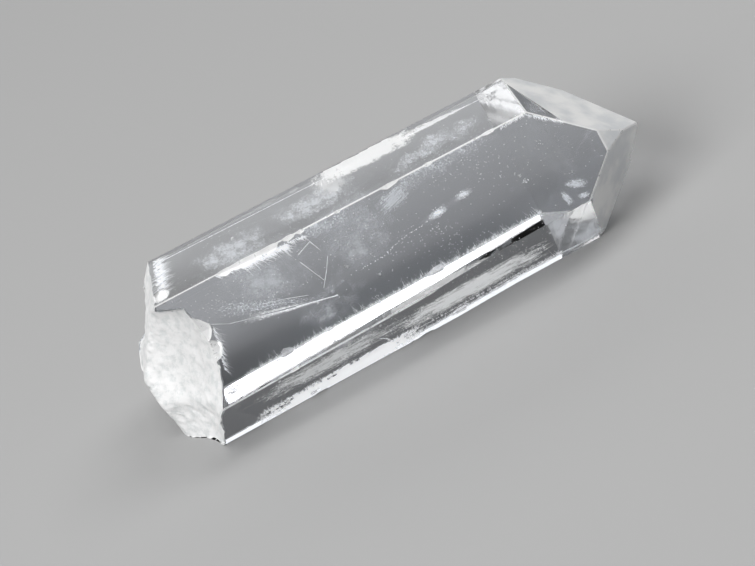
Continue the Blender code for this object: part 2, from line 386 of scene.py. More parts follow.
class Effects:
    """The patterns that more than one finish uses, each a node group built once."""

    fine_share = 0.3
    coarse_share = 0.7
    dots_share = 0.3
    rim_share = 0.45

    def __init__(self) -> None:
        """Builds the groups."""
        self.grain = self.build_grain()
        self.wisp = self.build_wisp()

    def build_grain(self) -> NodeTree:
        """The uneven grain of broken and ground quartz.

        Returns:
            The group: Size in metres and Fineness in, Grain out.
        """
        group, tree, given, out = new_group("quartz_grain", {"Size": 0.5 * MM, "Fineness": 8.0}, "Grain")
        point = tree.place((1.0,) * 3)
        coarse = tree.noise(point, tree.maths("DIVIDE", 1.0, given["Size"]), 3.0, 0.55)
        fine = tree.noise(point, tree.maths("DIVIDE", given["Fineness"], given["Size"]), 2.0, 0.5)
        coarse = tree.maths("MULTIPLY", coarse, self.coarse_share)
        tree.feed(out, tree.maths("MULTIPLY_ADD", fine, self.fine_share, coarse))
        return group

    def build_wisp(self) -> NodeTree:
        """The ragged cover of a veil or crack, which thins out towards the sheet's rim.

        Returns:
            The group: the pattern's Size and its Stretch along the sheet, its Cover, the
            Softness of its edges and the strength of its Speckle in, Mask out.
        """
        inputs = {"Size": 3.0, "Stretch": 1.0, "Cover": 0.5, "Softness": 0.2, "Speckle": 0.0}
        group, tree, given, out = new_group("quartz_wisp", inputs, "Mask")
        around = tree.add("ShaderNodeSeparateXYZ")
        tree.feed(around.inputs[0], tree.place((1.0,) * 3, "UV"))
        along, across = around.outputs["X"], around.outputs["Y"]
        rim = tree.maths("MULTIPLY", self.hump(tree, along), self.hump(tree, across))
        stretched = tree.add("ShaderNodeCombineXYZ")
        tree.fill(stretched, X=along, Y=tree.maths("MULTIPLY", across, given["Stretch"]))
        pattern = tree.noise(stretched.outputs[0], given["Size"], 10.0, 0.7)
        fine = tree.noise(tree.place((1 / MM,) * 3), 5.0, 2.0, 0.5)
        dots = tree.maths("MULTIPLY", tree.ramp(fine, 0.5, 0.66), given["Speckle"])
        body = tree.maths("ADD", pattern, tree.maths("MULTIPLY", dots, self.dots_share))
        body = tree.maths("SUBTRACT", body, self.rim_share)
        level = tree.maths("MULTIPLY_ADD", rim, self.rim_share, body)
        start = tree.maths("SUBTRACT", 0.75, given["Cover"])
        mask = tree.ramp(level, start, tree.maths("ADD", start, given["Softness"]))
        tree.feed(out, tree.maths("MULTIPLY", mask, tree.ramp(rim, 0.0, 0.25)))
        return group

    @staticmethod
    def hump(tree: Tree, value: NodeSocket) -> NodeSocket:
        """A hump that is 0 where a value is 0 or 1, and 1 half-way between."""
        rest = tree.maths("SUBTRACT", 1.0, value)
        return tree.maths("MULTIPLY", tree.maths("MULTIPLY", value, rest), 4.0)


@dataclass(frozen=True)
class ClearQuartz:
    """The finish of the natural faces: clear but tinted grey-blue, a painted shade that darkens all that is
    seen through them, with faint growth lines across them.
    """

    # painted shade: this grey-blue tint darkens the view through the crystal, which clear quartz does not
    tint: Triple = (0.72, 0.74, 0.78)
    roughness: float = 0.012
    line_spacing: float = 0.35
    line_scale: Triple = (1.0, 0.08, 0.08)
    line_depth: float = 0.02
    line_strength: float = 0.12

    def material(self) -> Material:
        """Builds the finish."""
        material, tree, shader = new_material(
            "clear_quartz_painted_shade", self.tint, Roughness=self.roughness, IOR=QUARTZ_IOR, Transmission_Weight=1.0
        )
        point = tree.place(tuple(share / MM for share in self.line_scale))
        lines = tree.noise(point, 1 / self.line_spacing)
        tree.fill(shader, Normal=tree.bump(lines, self.line_depth * MM, self.line_strength))
        return material


@dataclass(frozen=True)
class EtchedQuartz:
    """The finish of the frosted parts of the pyramid faces: ground glass in soft patches."""

    tint: Triple = (0.97, 0.97, 0.96)
    shade: Triple = (0.72, 0.74, 0.76)
    roughness: tuple[float, float] = (0.42, 0.1)
    clearness: float = 0.35
    patch: float = 4.0
    grain_depth: float = 0.01

    def material(self) -> Material:
        """Builds the finish."""
        material, tree, shader = new_material(
            "etched_quartz", IOR=QUARTZ_IOR, Transmission_Weight=self.clearness
        )
        point = tree.place((1 / MM,) * 3)
        cloud = tree.ramp(tree.noise(point, 1 / self.patch, 4.0, 0.55), 0.35, 0.65)
        least, more = self.roughness
        tree.fill(
            shader,
            Base_Color=tree.blend(cloud, self.shade, self.tint),
            Roughness=tree.maths("MULTIPLY_ADD", cloud, more, least),
            Normal=tree.bump(tree.noise(point, 4.0), self.grain_depth * MM, 0.2),
        )
        return material


@dataclass(frozen=True)
class BrokenQuartz:
    """The finish of broken surfaces: frosted white, uneven and slightly see-through."""

    white: Triple = (0.80, 0.80, 0.80)
    shade: Triple = (0.64, 0.66, 0.66)
    clearness: float = 0.10
    grain: float = 0.9
    ripple: float = 0.3
    ripple_share: float = 0.45
    ripple_centre: Triple = (-27.0, -12.0, 15.0)
    depth: float = 0.07

    def material(self, effects: Effects) -> Material:
        """Builds the finish."""
        material, tree, shader = new_material(
            "broken_quartz", IOR=QUARTZ_IOR, Transmission_Weight=self.clearness
        )
        grain = tree.group(effects.grain, Size=self.grain * MM, Fineness=7.0)
        ripples = tree.add("ShaderNodeTexWave", wave_type="RINGS", rings_direction="SPHERICAL")
        point = tree.place((1 / MM,) * 3, centre=self.ripple_centre)
        tree.fill(ripples, Vector=point, Scale=self.ripple, Distortion=9.0, Detail=3.0, Detail_Scale=0.4)
        height = tree.maths("MULTIPLY_ADD", ripples.outputs["Fac"], self.ripple_share, grain)
        tree.fill(
            shader,
            Base_Color=tree.blend(tree.ramp(grain, 0.36, 0.56), self.shade, self.white),
            Roughness=tree.maths("MULTIPLY_ADD", grain, 0.4, 0.3),
            Normal=tree.bump(height, self.depth * MM, 0.5),
        )
        return material


@dataclass(frozen=True)
class WornQuartz:
    """The finish of the worn edges: ground white in spots, clear between them."""

    white: Triple = (0.92, 0.92, 0.92)
    clearness: float = 0.5
    grain: float = 0.9
    depth: float = 0.06

    def material(self, effects: Effects) -> Material:
        """Builds the finish."""
        material, tree, shader = new_material(
            "worn_quartz", self.white, IOR=QUARTZ_IOR, Transmission_Weight=self.clearness
        )
        grain = tree.group(effects.grain, Size=self.grain * MM, Fineness=6.0)
        ground = tree.ramp(grain, 0.3, 0.6)
        tree.fill(shader, Roughness=ground, Normal=tree.bump(grain, self.depth * MM, 0.6))
        return material


@dataclass(frozen=True)
class Frost:
    """The finish of splinters, specks and hair cracks: white quartz powder, brightened by a painted glow (a
    white emission).
    """

    white: Triple = (0.97, 0.97, 0.97)
    # painted glow: the strength of a white emission that makes the frost shine as if lit
    painted_glow: float = 0.35
    grain: float = 0.2

    def material(self, effects: Effects) -> Material:
        """Builds the finish."""
        material, tree, shader = new_material(
            "white_frost_painted_glow", self.white, Emission_Color=(1.0,) * 4, Emission_Strength=self.painted_glow
        )
        grain = tree.group(effects.grain, Size=self.grain * MM, Fineness=3.0)
        tree.fill(shader, Roughness=tree.maths("MULTIPLY_ADD", grain, 0.3, 0.35))
        return material


@dataclass(frozen=True)
class Wisps:
    """The finish of a veil, a healed crack or a bruise: ragged white over nothing, brightened by a painted
    glow (a white emission).

    An outer one lies just under a face and shows from outside only.
    """

    outer: bool = False
    size: float = 3.0
    stretch: float = 1.0
    cover: float = 0.5
    softness: float = 0.25
    strength: float = 0.6
    speckle: float = 0.5
    # painted glow: the strength of a white emission that makes the marks shine as if lit
    painted_glow: float = 0.25
    white: Triple = (0.93, 0.95, 0.97)

    def material(self, name: str, effects: Effects) -> Material:
        """Builds the finish.

        Args:
            name: The material's name.
            effects: The shared patterns.

        Returns:
            The material.
        """
        # painted glow: the emission lights up the white though it is no lamp
        glow = {"Emission_Color": (*self.white, 1.0), "Emission_Strength": self.painted_glow}
        material, tree, shader = new_material(name, self.white, Roughness=0.5, **glow)
        mask = tree.group(
            effects.wisp,
            Size=self.size,
            Stretch=self.stretch,
            Cover=self.cover,
            Softness=self.softness,
            Speckle=self.speckle,
        )
        cover = tree.maths("MULTIPLY", mask, self.strength)
        if self.outer:
            behind = tree.add("ShaderNodeNewGeometry").outputs["Backfacing"]
            cover = tree.maths("MULTIPLY", cover, tree.maths("SUBTRACT", 1.0, behind))
        tree.fill(shader, Alpha=cover)
        return material


# Each style's painted glow is an emission, painted light that brightens its marks beyond the light that
# reaches them.
CLOUD = Wisps(stretch=0.45, softness=0.36, strength=0.75)
DIM = Wisps(stretch=0.8, softness=0.46, speckle=0.2)
LOW = Wisps(stretch=0.9, softness=0.35, strength=0.9, painted_glow=0.32, white=(0.96, 0.96, 0.94))
# painted glow: a stronger emission for the brighter, creamy veil low on the front
LOW_PAINTED_GLOW = replace(LOW, painted_glow=0.48)
PUFF = Wisps(stretch=0.6, softness=0.6, strength=0.95, painted_glow=0.6)
COMBED = Wisps(stretch=5.0, strength=0.9)
PLUME = Wisps(stretch=9.0, strength=0.75)
CRACK = Wisps(stretch=9.0, strength=0.8, speckle=1.0)
BLADE = Wisps(stretch=9.0, softness=0.5, strength=0.97, painted_glow=0.55, white=(0.98, 0.98, 0.97))
# painted glow: the strong emission stands in for the light that the strip under the downward face lacks
CHALK = replace(BLADE, outer=True, stretch=0.2, softness=0.2, speckle=1.0, painted_glow=0.6)
BRUISE = Wisps(True, stretch=0.3, strength=0.97, painted_glow=0.2, white=(0.97, 0.96, 0.93))
SMEAR = replace(BRUISE, strength=0.9)
HAZE = replace(BRUISE, strength=0.5)


@dataclass(frozen=True)
class Viewpoint:
    """The camera, at the photograph's viewing angle. Its aim and distance are in millimetres."""

    aim: Triple = (-2.79, -1.79, 6.48)
    down: float = math.radians(30)
    roll: float = math.radians(27.9)
    distance: float = 315.15
    lens: float = 123.97

    def axes(self) -> tuple[Vector, Vector, Vector]:
        """The camera's right, up and backward directions."""
        back = Vector((0, -math.cos(self.down), math.sin(self.down)))
        low = Vector((0, -math.sin(self.down), -math.cos(self.down)))
        right = ALONG * math.cos(self.roll) + low * math.sin(self.roll)
        up = ALONG * math.sin(self.roll) - low * math.cos(self.roll)
        return right, up, back

    def eye(self) -> Vector:
        """The camera's place."""
        return (Vector(self.aim) + self.axes()[2] * self.distance) * MM

    def towards(self, pixel: Pixel) -> Vector:
        """The direction in which the camera sees a pixel of the photograph.

        Args:
            pixel: The pixel's place, across and down.

        Returns:
            The direction.
        """
        right, up, back = self.axes()
        focal = PHOTO_WIDTH * self.lens / SENSOR
        across = (pixel[0] - PHOTO_WIDTH / 2) / focal
        down = (pixel[1] - PHOTO_HEIGHT / 2) / focal
        return (right * across - up * down - back).normalized()

    def place(self) -> None:
        """Adds the camera and makes it the scene's own."""
        data = bpy.data.cameras.new("camera")
        data.lens = self.lens
        data.sensor_width = SENSOR
        data.clip_start = 1 * MM
        camera = bpy.data.objects.new("camera", data)
        bpy.context.scene.collection.objects.link(camera)
        matrix = Matrix(self.axes()).transposed().to_4x4()
        matrix.translation = self.eye()
        camera.matrix_world = matrix
        bpy.context.scene.camera = camera


@dataclass(frozen=True)
class CrystalBody:
    """The clear crystal itself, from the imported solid, with a finer break.

    The frost on the pyramid faces lies beside lines through two pixels of the photograph each,
    on the right as one goes from the first to the second. The rim is where the break ends along
    X. Each layer of the swell has the size and the height of its unevenness. Both the rim and
    the swell are in millimetres.
    """

    frost_lines: tuple[tuple[Pixel, Pixel], ...] = (
        ((560, 119), (505, 83)),
        ((590, 240), (598, 120)),
        ((549, 226), (596, 204)),
    )
    merge: float = 0.001 * MM
    flat: float = math.radians(0.4)
    cuts: int = 2
    smooth_angle: float = math.radians(32)
    swell: tuple[tuple[float, float], ...] = ((2.4, 0.5), (0.8, 0.1), (0.25, 0.04))
    swell_level: float = 0.75
    etched: tuple[Face, ...] = (Face.TOP, Face.UPPER_FRONT, Face.LOWER_FRONT, Face.UPPER_BACK)
    sound: tuple[Face, ...] = (Face.UNDER, Face.LOWER_BACK, Face.UPPER_BACK)
    rim: tuple[float, float] = (-26.0, -21.0)
    rim_tilt: float = -0.47
    group: str = "break"

    def build(self, node: Piece, effects: Effects, view: Viewpoint) -> Piece:
        """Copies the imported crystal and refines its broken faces.

        Args:
            node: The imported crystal.
            effects: The shared patterns.
            view: The camera.

        Returns:
            The finished piece.
        """
        piece = bpy.data.objects.new("quartz_point", node.data.copy())
        bpy.context.scene.collection.objects.link(piece)
        take_up(piece)
        bpy.ops.object.mode_set(mode="EDIT")
        bpy.ops.mesh.select_all(action="SELECT")
        bpy.ops.mesh.remove_doubles(threshold=self.merge)
        bpy.ops.mesh.dissolve_limited(angle_limit=self.flat)
        bpy.ops.object.mode_set(mode="OBJECT")
        piece.data.materials.clear()
        for material in (
            ClearQuartz().material(),
            EtchedQuartz().material(),
            BrokenQuartz().material(effects),
            WornQuartz().material(effects),
        ):
            piece.data.materials.append(material)
        for polygon in piece.data.polygons:
            polygon.material_index = self.skin_of(polygon).value
        self.part_frost(piece, view)
        self.refine_break(piece)
        bpy.ops.object.shade_smooth_by_angle(angle=self.smooth_angle)
        for polygon in piece.data.polygons:
            if polygon.material_index != Skin.BROKEN.value:
                polygon.use_smooth = False
        return hand_over(piece)

    def skin_of(self, polygon: MeshPolygon) -> Skin:
        """Tells the kind of surface that a face belongs to.

        Args:
            polygon: The face.

        Returns:
            Its kind of surface.
        """
        for face in Face:
            if polygon.normal.angle(face.normal) < FACE_MATCH:
                return Skin.CLEAR
            if polygon.normal.angle(face.pyramid_normal) < FACE_MATCH:
                return Skin.ETCHED if face in self.etched else Skin.CLEAR
        for face in self.sound:
            shoulder = face.normal + face.pyramid_normal
            if polygon.normal.angle(shoulder) < FACE_MATCH:
                return Skin.CLEAR
        for face in Face:
            neighbour = Face((face.value + 1) % len(Face))
            if polygon.normal.angle(face.normal + neighbour.normal) < FACE_MATCH:
                return Skin.WORN
        away = polygon.center.x / MM
        if away > self.rim[1] or (away > self.rim[0] and polygon.normal.x > self.rim_tilt):
            return Skin.WORN
        return Skin.BROKEN

    @staticmethod
    def open_skin(piece: Piece, skin: Skin) -> None:
        """Opens the crystal in edit mode with one kind of surface selected.

        Args:
            piece: The crystal.
            skin: The kind of surface.
        """
        for element in (*piece.data.vertices, *piece.data.edges):
            element.select = False
        for polygon in piece.data.polygons:
            polygon.select = polygon.material_index == skin.value
        take_up(piece)
        bpy.ops.object.mode_set(mode="EDIT")
        bpy.ops.mesh.select_mode(type="FACE")

    def part_frost(self, piece: Piece, view: Viewpoint) -> None:
        """Cuts the pyramid faces where their frost ends, and makes the rest of them clear.

        Args:
            piece: The crystal.
            view: The camera, through which the lines are seen.
        """
        eye = view.eye()
        normals = []
        for first, last in self.frost_lines:
            normals.append(view.towards(first).cross(view.towards(last)).normalized())
        for normal in normals:
            self.open_skin(piece, Skin.ETCHED)
            bpy.ops.mesh.bisect(plane_co=eye, plane_no=normal)
            bpy.ops.object.mode_set(mode="OBJECT")
        for polygon in piece.data.polygons:
            bare = all((polygon.center - eye).dot(normal) < 0 for normal in normals)
            if polygon.material_index == Skin.ETCHED.value and bare:
                polygon.material_index = Skin.CLEAR.value

    def refine_break(self, piece: Piece) -> None:
        """Makes the broken faces finer and uneven, away from their rims and no higher or lower.

        Args:
            piece: The crystal.
        """
        mesh = piece.data
        lowest = min(vertex.co.z for vertex in mesh.vertices)
        highest = max(vertex.co.z for vertex in mesh.vertices)
        self.open_skin(piece, Skin.BROKEN)
        bpy.ops.mesh.subdivide(number_cuts=self.cuts, smoothness=0.0)
        bpy.ops.object.mode_set(mode="OBJECT")
        broken: set[int] = set()
        kept: set[int] = set()
        for polygon in mesh.polygons:
            side = broken if polygon.material_index == Skin.BROKEN.value else kept
            side.update(polygon.vertices)
        piece.vertex_groups.new(name=self.group).add(sorted(broken - kept), 1.0, "REPLACE")
        for size, height in self.swell:
            displace(piece, size, height, self.swell_level, self.group)
        piece.vertex_groups.clear()
        for vertex in mesh.vertices:
            vertex.co.z = min(max(vertex.co.z, lowest), highest)


class Sight:
    """Looks into the crystal as the photograph does, bending the view at the first face."""

    skin_depth = 0.1

    def __init__(self, view: Viewpoint, body: Piece) -> None:
        """Measures the crystal's faces.

        Args:
            view: The camera.
            body: The crystal.
        """
        self.view = view
        mesh = body.data
        points = [vertex.co.copy() for vertex in mesh.vertices]
        self.solid = BVHTree.FromPolygons(points, [tuple(polygon.vertices) for polygon in mesh.polygons])
        self.normals = [face.normal for face in Face] + [face.pyramid_normal for face in Face]
        self.planes = {face: self.measure(mesh, face) for face in Face}

    @staticmethod
    def measure(mesh: Mesh, face: Face) -> tuple[Vector, Vector]:
        """Finds a long face's middle and mean direction.

        Args:
            mesh: The crystal's mesh.
            face: The face.

        Returns:
            A point on the face and its outward direction.
        """
        centre, direction, total = Vector(), Vector(), 0.0
        for polygon in mesh.polygons:
            clear = polygon.material_index == Skin.CLEAR.value
            if clear and polygon.normal.angle(face.normal) < FACE_MATCH:
                centre += polygon.center * polygon.area
                direction += polygon.normal * polygon.area
                total += polygon.area
        return centre / total, direction.normalized()

    def enter(self, pixel: Pixel) -> tuple[Vector, Vector]:
        """Finds where the view through a pixel enters the crystal.

        Args:
            pixel: The pixel of the photograph.

        Returns:
            The point and the direction inside.
        """
        direction = self.view.towards(pixel)
        point, hit, _, _ = self.solid.ray_cast(self.view.eye(), direction)
        if point is None:
            raise ValueError(f"pixel {pixel} is beside the crystal")
        normal = max(self.normals, key=hit.dot)
        ratio = 1 / QUARTZ_IOR
        cosine = -direction.dot(normal)
        bent = math.sqrt(1 - ratio * ratio * (1 - cosine * cosine))
        return point, (direction * ratio + normal * (ratio * cosine - bent)).normalized()

    def at(self, pixel: Pixel, depth: float) -> Vector:
        """The point seen at a pixel, a depth in millimetres inside along the view."""
        point, inward = self.enter(pixel)
        return point + inward * depth * MM

    def line(self, depth: float, *pixels: Pixel) -> list[Vector]:
        """The points seen at some pixels, all at one depth in millimetres."""
        return [self.at(pixel, depth) for pixel in pixels]

    def onto(self, pixel: Pixel, face: Face, inset: float) -> Vector:
        """The point seen at a pixel on the inner side of a hidden face.

        Args:
            pixel: The pixel of the photograph.
            face: The hidden face.
            inset: How far inside the face the point lies, in millimetres.

        Returns:
            The point.
        """
        point, inward = self.enter(pixel)
        centre, normal = self.planes[face]
        away = (centre - normal * inset * MM - point).dot(normal)
        return point + inward * (away / inward.dot(normal))

    def way(self, first: Pixel, last: Pixel) -> Vector:
        """The direction from one seen point of the surface to another."""
        start, end = self.line(self.skin_depth, first, last)
        return (end - start).normalized()

    def up(self, face: Face) -> Vector:
        """The direction that runs up a long face, across the crystal."""
        rise = ALONG.cross(self.planes[face][1]).normalized()
        return -rise if rise.z < 0 else rise

    def inside(self, point: Vector, margin: float) -> bool:
        """Tells whether a point is inside the crystal by a margin in metres."""
        nearest, normal, _, _ = self.solid.find_nearest(point)
        return (nearest - point).dot(normal) > margin

    def beneath(self, point: Vector, inset: float) -> Vector:
        """The place an inset in metres under the surface that is nearest to a point."""
        nearest, normal, _, _ = self.solid.find_nearest(point)
        return nearest - normal * inset


@dataclass(frozen=True)
class Sheet:
    """A thin curved sheet inside the crystal, such as a veil, a healed crack or a bruise.

    It spans a middle line between two pixels and reaches to a third one at its side. The depths
    of the three, and the wave, are in millimetres. The size and the cover are its pattern's.
    """

    name: str
    look: Wisps
    start: Pixel
    end: Pixel
    side: Pixel
    depths: Triple
    size: float
    cover: float
    taper: float = 1.0
    wave: float = 0.5
    cuts: int = 24
    wave_size: float = 4.0
    margin: float = 0.06 * MM

    def build(self, sight: Sight, effects: Effects) -> Piece:
        """Models the sheet and trims it to the crystal.

        Args:
            sight: The view into the crystal, which knows its surface.
            effects: The shared patterns.

        Returns:
            The finished piece.
        """
        pixels = (self.start, self.end, self.side)
        start, end, side = (sight.at(pixel, depth) for pixel, depth in zip(pixels, self.depths))
        piece = self.lay(start, end, side, sight.view.axes()[2])
        displace(piece, self.wave_size, self.wave)
        open_vertices(piece, lambda place: not sight.inside(place, self.margin))
        bpy.ops.mesh.delete(type="VERT")
        bpy.ops.object.mode_set(mode="OBJECT")
        for polygon in piece.data.polygons:
            polygon.use_smooth = True
        finish = replace(self.look, size=self.size, cover=self.cover)
        return settle(piece, self.name, finish.material(self.name, effects))

    def lay(self, start: Vector, end: Vector, side: Vector, towards: Vector) -> Piece:
        """Lays out the flat sheet, finely divided and drawn together at its far edge.

        Args:
            start: Where the middle line starts.
            end: Where it ends.
            side: How far the sheet reaches.
            towards: The direction that its outer side faces.

        Returns:
            The flat sheet.
        """
        along = (end - start).normalized()
        middle = (start + end) / 2
        reach = side - middle
        across = reach - along * reach.dot(along)
        if along.cross(across).dot(towards) < 0:
            across = -across
        turn = Matrix((along, across.normalized(), along.cross(across).normalized())).transposed()
        deselect_all()
        bpy.ops.mesh.primitive_plane_add(size=1, location=middle, rotation=turn.to_euler())
        piece = bpy.context.object
        piece.scale = ((end - start).length, 2 * across.length, 1)
        bpy.ops.object.transform_apply(location=True, rotation=True, scale=True)
        open_vertices(piece, lambda place: (place - end).length < (place - start).length)
        bpy.ops.transform.resize(value=(self.taper,) * 3, center_override=end)
        bpy.ops.mesh.select_all(action="SELECT")
        bpy.ops.mesh.subdivide(number_cuts=self.cuts)
        bpy.ops.object.mode_set(mode="OBJECT")
        return piece


@dataclass(frozen=True)
class CrackLines:
    """The bright edges of small flat cracks, as hair-thin tapering rods.

    Each point of a line is a pixel's place across and down, and the point's depth. The depths
    and the radius are in millimetres.
    """

    name: str
    radius: float
    lines: tuple[tuple[Triple, ...], ...]

    def build(self, sight: Sight, material: Material) -> Piece:
        """Models each stretch of each line and joins them.

        Args:
            sight: The view into the crystal.
            material: The finish.

        Returns:
            The finished piece.
        """
        rods = []
        for line in self.lines:
            points = [sight.at((across, down), depth) for across, down, depth in line]
            for start, end in zip(points, points[1:]):
                way = end - start
                deselect_all()
                bpy.ops.mesh.primitive_cone_add(
                    vertices=5,
                    radius1=self.radius * MM,
                    radius2=self.radius * 0.5 * MM,
                    depth=way.length,
                    location=(start + end) / 2,
                    rotation=way.to_track_quat("Z", "Y").to_euler(),
                )
                rods.append(bpy.context.object)
        take_up(*rods)
        bpy.ops.object.join()
        return settle(rods[0], self.name, material)


@dataclass(frozen=True)
class Fringe:
    """A row of fine splinters along a line, which all point much the same way.

    The lengths, the width, the scatter and the inset are in millimetres. The spread is how far
    the splinters lean along the row.
    """

    name: str
    start: Vector
    end: Vector
    rise: Vector
    count: int
    length: tuple[float, float]
    width: float
    spread: float
    scatter: float
    seed: int
    inset: float = 0.1

    def build(self, sight: Sight, material: Material) -> Piece:
        """Models one pointed splinter and repeats it, without those that would be too short.

        Args:
            sight: The view into the crystal, which knows its surface.
            material: The finish.

        Returns:
            The finished piece.
        """
        draw = random.Random(self.seed)
        along = (self.end - self.start).normalized()
        shortest, longest = self.length
        places = []
        for _ in range(self.count):
            foot = self.start.lerp(self.end, draw.random()) + self.rise * draw.uniform(0, self.scatter) * MM
            lean = along * draw.uniform(-self.spread, self.spread)
            towards = (self.rise + lean).normalized()
            length = shortest + (longest - shortest) * draw.random() ** 2
            width = self.width * draw.uniform(0.6, 1.4) * MM
            tip = sight.beneath(foot + towards * length * MM, self.inset * MM)
            foot = sight.beneath(foot, self.inset * MM)
            reach = tip - foot
            if reach.length > width:
                turn = reach.to_track_quat("Z", "Y").to_matrix().to_4x4()
                size = Matrix.Diagonal((width, width * 0.5, reach.length, 1))
                places.append(Matrix.Translation(foot) @ turn @ size)
        deselect_all()
        bpy.ops.mesh.primitive_cone_add(vertices=4, radius1=0.5, radius2=0.06, depth=1, location=(0, 0, 0.5))
        bpy.ops.object.transform_apply(location=True, rotation=True, scale=True)
        return join_copies(bpy.context.object, self.name, places, material)


@dataclass(frozen=True)
class Specks:
    """Tiny white inclusions, strewn at random. Their radii and depths are in millimetres."""

    name: str
    seed: int
    radii: tuple[float, float]

    @staticmethod
    def speck(draw: random.Random, place: Vector, radii: tuple[float, float]) -> Matrix:
        """Where a speck goes and how big it is, drawn between two radii."""
        radius = draw.uniform(*radii) * MM
        return Matrix.Translation(place) @ Matrix.Diagonal((radius, radius, radius, 1))

    @staticmethod
    def near(draw: random.Random, middle: Pixel, spread: Pixel) -> Pixel:
        """A random pixel around another one."""
        return middle[0] + draw.gauss(0, spread[0]), middle[1] + draw.gauss(0, spread[1])

    def places(self, draw: random.Random, sight: Sight) -> list[Matrix]:
        """Where all the specks go, as each kind of speck tells."""
        raise NotImplementedError

    def build(self, sight: Sight, material: Material) -> Piece:
        """Models one speck and repeats it.

        Args:
            sight: The view into the crystal, which knows its surface.
            material: The finish.

        Returns:
            The finished piece.
        """
        places = self.places(random.Random(self.seed), sight)
        deselect_all()
        bpy.ops.mesh.primitive_ico_sphere_add(subdivisions=1, radius=1.0)
        return join_copies(bpy.context.object, self.name, places, material)


@dataclass(frozen=True)
class BubbleTrail(Specks):
    """The trail of bubbles through some pixels, and the puffs around others along it."""

    name: str = "bubble_trail"
    seed: int = 7
    radii: tuple[float, float] = (0.04, 0.1)
    trail: tuple[Pixel, ...] = ((362, 268), (384, 256), (400, 240), (418, 228), (436, 214))
    steps: int = 9
    stray: float = 0.5
    depth: float = 5
    trail_sway: float = 0.1
    puff_sway: float = 0.4
    puffs: tuple[tuple[Pixel, float, int], ...] = (
        ((437, 213), 2.6, 30),
        ((462.5, 194), 2.6, 24),
        ((525, 181), 1.3, 16),
        ((437, 228), 3.0, 12),
    )
    puff_radii: tuple[float, float] = (0.02, 0.08)

    def places(self, draw: random.Random, sight: Sight) -> list[Matrix]:
        """Strews the trail and then the puffs."""
        places = []
        for start, end in zip(self.trail, self.trail[1:]):
            for step in range(self.steps):
                share = (step + draw.random()) / self.steps
                middle = (start[0] + (end[0] - start[0]) * share, start[1] + (end[1] - start[1]) * share)
                pixel = self.near(draw, middle, (self.stray, self.stray))
                place = sight.at(pixel, self.depth + draw.gauss(0, self.trail_sway))
                places.append(self.speck(draw, place, self.radii))
        for centre, size, count in self.puffs:
            for _ in range(count):
                pixel = self.near(draw, centre, (size, size))
                place = sight.at(pixel, self.depth + draw.gauss(0, self.puff_sway))
                places.append(self.speck(draw, place, self.puff_radii))
        return places


@dataclass(frozen=True)
class ScatteredSpecks(Specks):
    """The specks all through the crystal, in clouds of a centre, a spread and a count."""

    name: str = "scattered_specks"
    seed: int = 11
    radii: tuple[float, float] = (0.02, 0.055)
    clouds: tuple[tuple[Pixel, Pixel, int], ...] = (
        ((470, 165), (40, 14), 170),
        ((450, 240), (50, 14), 220),
        ((340, 240), (34, 26), 110),
        ((270, 285), (34, 14), 100),
        ((225, 305), (22, 8), 90),
        ((250, 235), (40, 12), 80),
        ((400, 165), (30, 9), 80),
        ((545, 150), (28, 22), 80),
        ((329, 201), (5, 4), 18),
        ((373, 297), (3, 5), 16),
        ((448, 133), (5, 4), 16),
    )
    depths: tuple[float, float] = (1, 8)
    margin: float = 0.2

    def places(self, draw: random.Random, sight: Sight) -> list[Matrix]:
        """Strews the clouds, leaving out what would be outside the crystal."""
        places = []
        for centre, spread, count in self.clouds:
            for _ in range(count):
                pixel = self.near(draw, centre, spread)
                try:
                    place = sight.at(pixel, draw.uniform(*self.depths))
                except ValueError:
                    continue
                if sight.inside(place, self.margin * MM):
                    places.append(self.speck(draw, place, self.radii))
        return places


UNDER_SKIN = (0.12, 0.12, 0.12)

